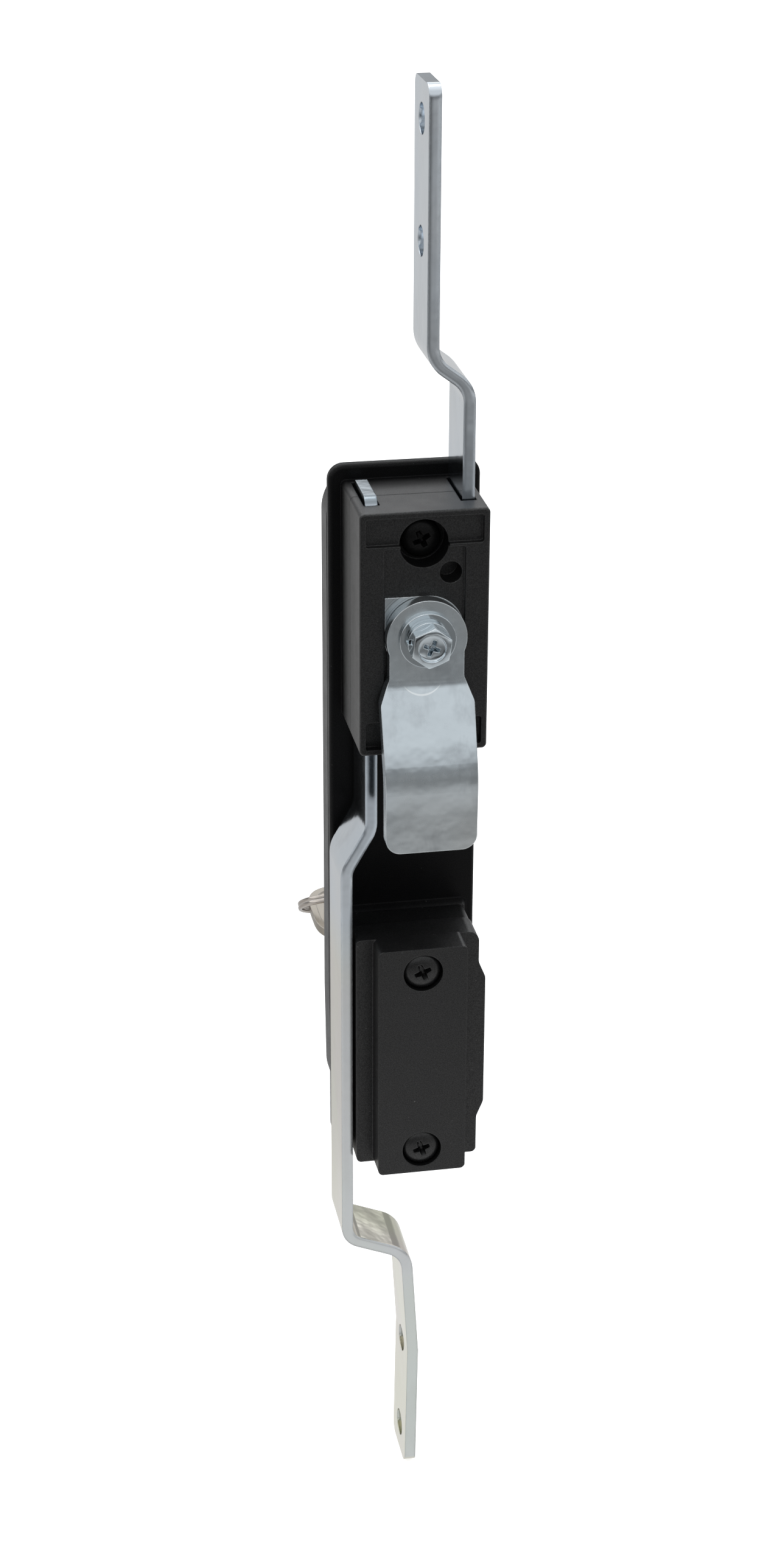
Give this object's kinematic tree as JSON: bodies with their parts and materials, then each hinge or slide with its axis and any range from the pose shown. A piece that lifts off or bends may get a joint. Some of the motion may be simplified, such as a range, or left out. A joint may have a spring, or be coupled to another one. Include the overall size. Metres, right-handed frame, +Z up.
{
  "type": "cabinet lock",
  "caption": "Swing-handle rod lock for a cabinet door: a key-locked lever turns a cam and drives two bent rods in and out.",
  "frame": {"origin": "on the door face of the flange, on its centre line, in the open stretch between the two bosses", "axes": "+Z up along the rods, +Y into the cabinet, square to the door"},
  "size_m": [0.0348, 0.0844, 0.3357],
  "materials": {
    "black_cover": "fine-grained black moulding",
    "black_handle": "satin black moulding",
    "black_steel": "black oxide",
    "zinc_plate": "bright zinc plating, scuffed",
    "nickel": "satin nickel plating"
  },
  "bodies": {
    "base": {"dish": "black_cover", "gearbox_housing": "black_cover", "gearbox_screws": "black_steel", "stop_plate": "zinc_plate", "clamp_bracket": "black_cover", "bracket_screws": "black_steel"},
    "spindle": {"spindle": "zinc_plate", "pinion": "zinc_plate", "cam": "zinc_plate", "flat_washer": "zinc_plate", "spring_washer": "zinc_plate", "cam_bolt": "zinc_plate", "swivel_head": "black_cover", "hinge_pin": "zinc_plate"},
    "handle": {"handle": "black_handle", "lock_barrel": "nickel", "lock_nut": "zinc_plate", "bolt_cover": "zinc_plate"},
    "plug": {"lock_plug": "nickel", "key": "nickel"},
    "ring": {"key_ring": "nickel"},
    "bolt": {"deadbolt": "zinc_plate"},
    "upper_rod": {"upper_rod": "zinc_plate"},
    "lower_rod": {"lower_rod": "zinc_plate"}
  },
  "joints": [
    {"name": "handle_turn", "type": "hinge", "parent": "base", "child": "spindle", "pos_m": [0, 0, 0.05], "axis": [0, -1, 0], "range_deg": [0, 90]},
    {"name": "handle_lift", "type": "hinge", "parent": "spindle", "child": "handle", "pos_m": [0, -0.008, 0.0712], "axis": [-1, 0, 0], "range_deg": [0, 35]},
    {"name": "key_turn", "type": "hinge", "parent": "handle", "child": "plug", "pos_m": [0, -0.015, -0.046], "axis": [0, 1, 0], "range_deg": [0, 90]},
    {"name": "ring_swing", "type": "hinge", "parent": "plug", "child": "ring", "pos_m": [0, -0.0429, -0.046], "axis": [1, 0, 0], "range_deg": [-5, 45]},
    {"name": "deadbolt_slide", "type": "slide", "parent": "handle", "child": "bolt", "axis": [0, 0, -1], "range_m": [0, 0.003]},
    {"name": "upper_rod_slide", "type": "slide", "parent": "base", "child": "upper_rod", "axis": [0, 0, -1], "range_m": [0, 0.01603]},
    {"name": "lower_rod_slide", "type": "slide", "parent": "base", "child": "lower_rod", "axis": [0, 0, 1], "range_m": [0, 0.01603]}
  ],
  "couplings": [
    {"joint": "upper_rod_slide", "follows": "handle_turn", "m_per_rad": 0.0102},
    {"joint": "lower_rod_slide", "follows": "handle_turn", "m_per_rad": 0.0102},
    {"joint": "key_turn", "follows": "deadbolt_slide", "rad_per_m": 523.59}
  ]
}
